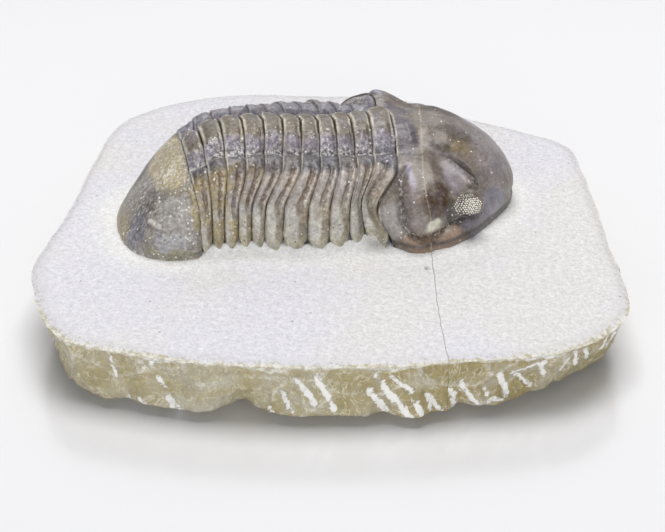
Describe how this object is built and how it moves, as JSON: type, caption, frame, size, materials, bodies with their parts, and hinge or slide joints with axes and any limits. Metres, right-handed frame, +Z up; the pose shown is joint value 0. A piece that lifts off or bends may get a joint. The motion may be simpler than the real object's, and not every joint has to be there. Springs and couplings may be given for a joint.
{
  "type": "trilobite fossil on a limestone slab",
  "caption": "Complete trilobite fossil lying back up on its prepared slab of pale limestone, with head shield, body segments and tail shield as separate plates.",
  "frame": {"origin": "middle of the slab's flat underside", "axes": "+X along the slab's longer side, with the animal's head towards +X, +Y away from the near side, +Z up out of the slab"},
  "size_m": [0.0797, 0.0787, 0.0246],
  "materials": {
    "limestone": "pale limestone, sandblasted matt on top, chipped and chiselled down the sides",
    "head_shell": "fossil shell, polished calcite in brown and violet grey",
    "body_shell": "fossil shell, polished calcite in olive brown and violet grey",
    "tail_shell": "fossil shell, polished calcite from beige gold to blue grey"
  },
  "bodies": {
    "root": {"matrix_slab": "limestone", "cephalon": "head_shell", "thoracic_segment_01": "body_shell", "thoracic_segment_02": "body_shell", "thoracic_segment_03": "body_shell", "thoracic_segment_04": "body_shell", "thoracic_segment_05": "body_shell", "thoracic_segment_06": "body_shell", "thoracic_segment_07": "body_shell", "thoracic_segment_08": "body_shell", "thoracic_segment_09": "body_shell", "thoracic_segment_10": "body_shell", "thoracic_segment_11": "body_shell", "pygidium": "tail_shell"}
  },
  "joints": []
}
